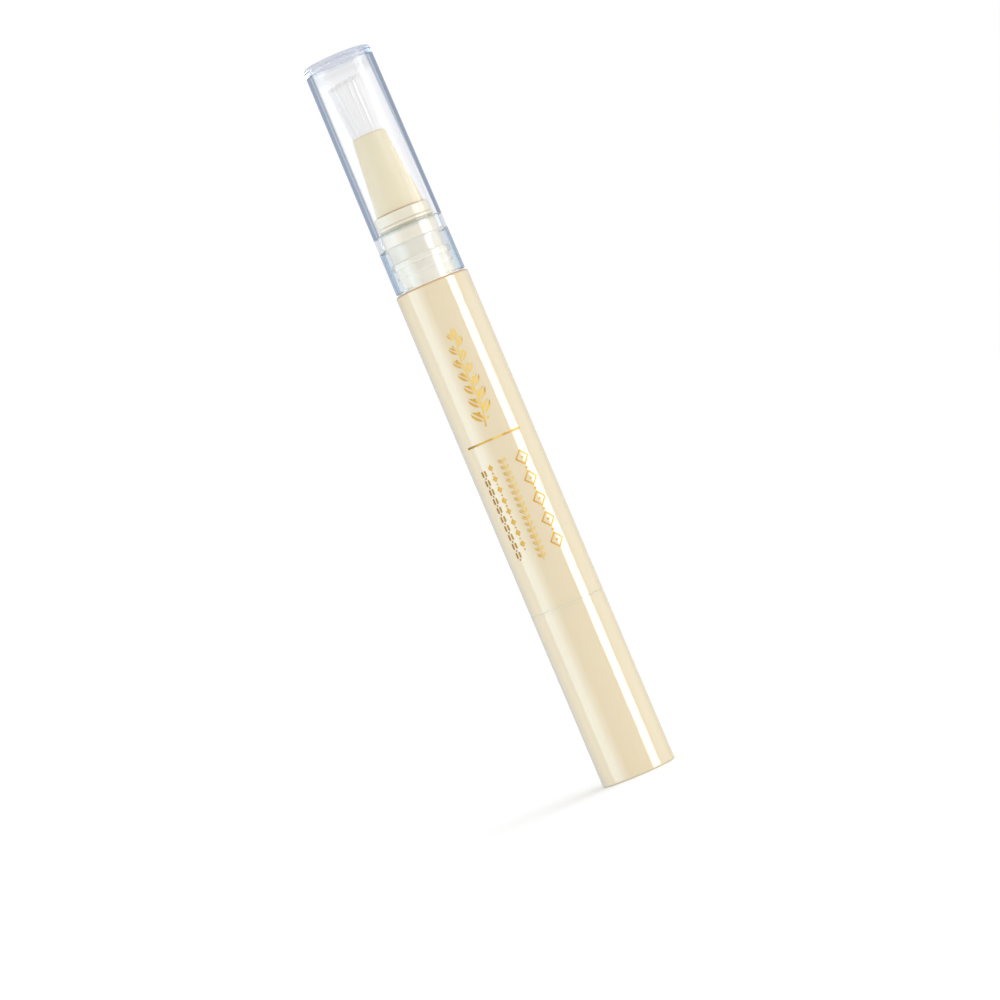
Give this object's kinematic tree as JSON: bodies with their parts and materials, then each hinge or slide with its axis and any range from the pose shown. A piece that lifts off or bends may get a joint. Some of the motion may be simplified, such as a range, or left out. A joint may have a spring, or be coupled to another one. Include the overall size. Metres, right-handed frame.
{
  "type": "cuticle oil pen",
  "caption": "Twist-up pen with a clear overcap and brush tip; turning the lower knob screws a piston up an inner oil reservoir.",
  "frame": {"origin": "middle of the knob's flat end, on the surface that the pen stands on", "axes": "+Z along the pen's axis towards the cap; -Y towards the middle of the printed side"},
  "size_m": [0.014, 0.014, 0.1405],
  "materials": {
    "cream_shell": "gloss",
    "cream_tip": "satin",
    "neck_plastic": "satin",
    "clear_cap": "clear gloss",
    "nylon_bristle": "translucent",
    "natural_plastic": "satin",
    "acetal": "satin",
    "spring_steel": "bright",
    "seal_rubber": "matte",
    "gold_foil": "foil"
  },
  "bodies": {
    "barrel": {"barrel": "cream_shell", "reservoir": "natural_plastic", "neck_fitting": "neck_plastic", "neck_seal": "seal_rubber", "tip_cone": "cream_tip", "tip_seal": "seal_rubber", "feed_tube": "natural_plastic", "brush_bush": "natural_plastic", "brush": "nylon_bristle", "thread_nut": "natural_plastic", "bearing_bush": "natural_plastic"},
    "knob": {"twist_knob": "cream_shell", "drive_sleeve": "acetal", "ratchet_ring": "natural_plastic", "ratchet_spring": "spring_steel"},
    "screw": {"screw_rod": "acetal"},
    "piston": {"piston": "natural_plastic"},
    "cap": {"cap": "clear_cap"}
  },
  "joints": [
    {"name": "knob_twist", "type": "hinge", "parent": "barrel", "child": "knob", "pos_m": [0, 0, 0.0166], "axis": [0, 0, 1], "range_deg": [0, 3600]},
    {"name": "screw_feed", "type": "slide", "parent": "knob", "child": "screw", "axis": [0, 0, 1], "range_m": [0, 0.0325]},
    {"name": "piston_feed", "type": "slide", "parent": "barrel", "child": "piston", "axis": [0, 0, 1], "range_m": [0, 0.0325]},
    {"name": "cap_slide", "type": "slide", "parent": "barrel", "child": "cap", "axis": [0, 0, 1], "range_m": [0, 0.046]}
  ],
  "couplings": [
    {"joint": "screw_feed", "follows": "knob_twist", "m_per_rad": 0.00051725},
    {"joint": "piston_feed", "follows": "knob_twist", "m_per_rad": 0.00051725}
  ]
}
